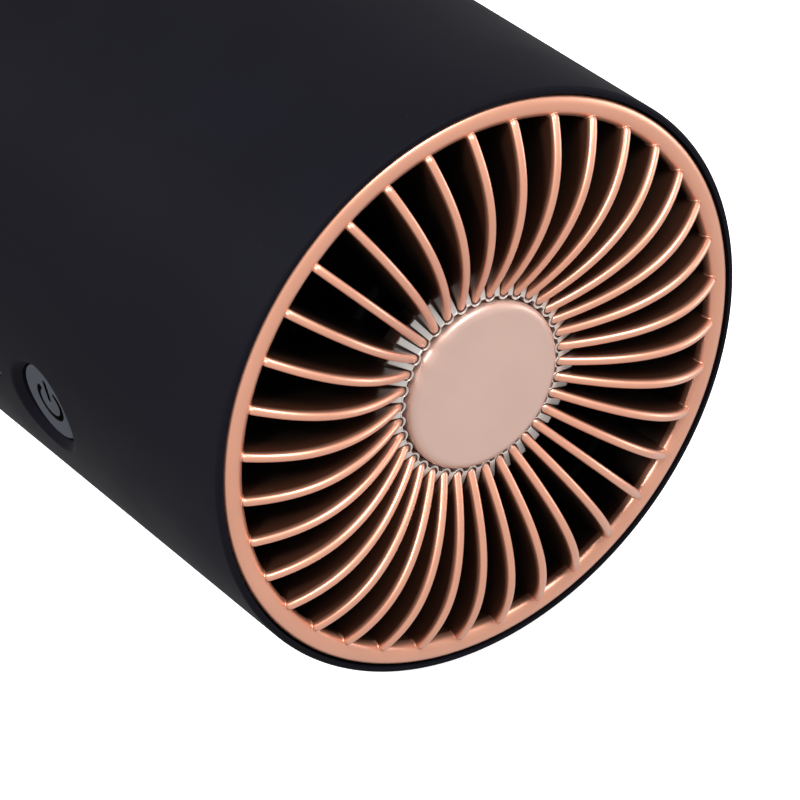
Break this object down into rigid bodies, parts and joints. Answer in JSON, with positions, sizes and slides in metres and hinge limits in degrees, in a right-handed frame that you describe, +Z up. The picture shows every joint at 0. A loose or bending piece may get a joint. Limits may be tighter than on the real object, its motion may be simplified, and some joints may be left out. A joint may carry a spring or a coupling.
{
  "type": "desk fan",
  "caption": "Drum-shaped desk fan with a domed radial-vane front grille, ducted impeller, side push button and slotted rear intake.",
  "frame": {"origin": "centre of the bounding box on the surface that the fan stands on", "axes": "front (air outlet) towards -Y, drum axis along Y, +Z up, +X to the right seen from the front"},
  "size_m": [0.104, 0.1548, 0.1065],
  "materials": {
    "shell_black": "soft-touch matte black",
    "inside_black": "plain moulded black",
    "rose_gold": "satin rose-gold plating on moulded plastic",
    "champagne": "satin champagne plating",
    "steel": "bright steel",
    "magnet": "bonded ferrite",
    "bronze": "sintered bronze",
    "board_green": "circuit board",
    "rubber_black": "matte rubber",
    "foam_grey": "open-cell foam",
    "button_grey": "matte grey",
    "white_plastic": "plain moulded white",
    "chip_black": "moulded epoxy",
    "window_clear": "smoked clear",
    "can_silver": "plain can"
  },
  "bodies": {
    "drum": {"shell": "shell_black", "rear_cover": "shell_black", "front_grille": "rose_gold", "hub_cap": "champagne", "grille_seal": "rubber_black", "foot_left": "rubber_black", "foot_right": "rubber_black", "motor_lead": "rubber_black", "switch_lead": "rubber_black", "fan_frame": "inside_black", "button_holder": "inside_black", "stator_core": "steel", "power_socket": "steel", "bearing_front": "bronze", "bearing_rear": "bronze", "motor_board": "board_green", "switch_board": "board_green", "control_board": "board_green", "status_light": "white_plastic", "tact_switch": "chip_black", "driver_chip": "chip_black", "light_window": "window_clear", "capacitor": "can_silver", "intake_filter": "foam_grey", "frame_screw_1": "steel", "frame_screw_2": "steel", "frame_screw_3": "steel", "board_screw_1": "steel", "board_screw_2": "steel", "board_screw_3": "steel", "board_screw_4": "steel", "cover_screw_1": "steel", "cover_screw_2": "steel", "cover_screw_3": "steel", "cover_screw_4": "steel"},
    "rotor": {"impeller": "inside_black", "rotor_cup": "steel", "magnet_ring": "magnet", "motor_shaft": "steel", "shaft_clip": "steel"},
    "button": {"button_cap": "button_grey", "switch_plunger": "white_plastic"}
  },
  "joints": [
    {"name": "impeller_spin", "type": "hinge", "parent": "drum", "child": "rotor", "pos_m": [0, -0.05605, 0.0545], "axis": [0, -1, 0], "continuous": true},
    {"name": "button_press", "type": "slide", "parent": "drum", "child": "button", "axis": [0.9703, 0, 0.2419], "range_m": [0, 0.0005], "stiffness_N_per_m": 2000}
  ]
}
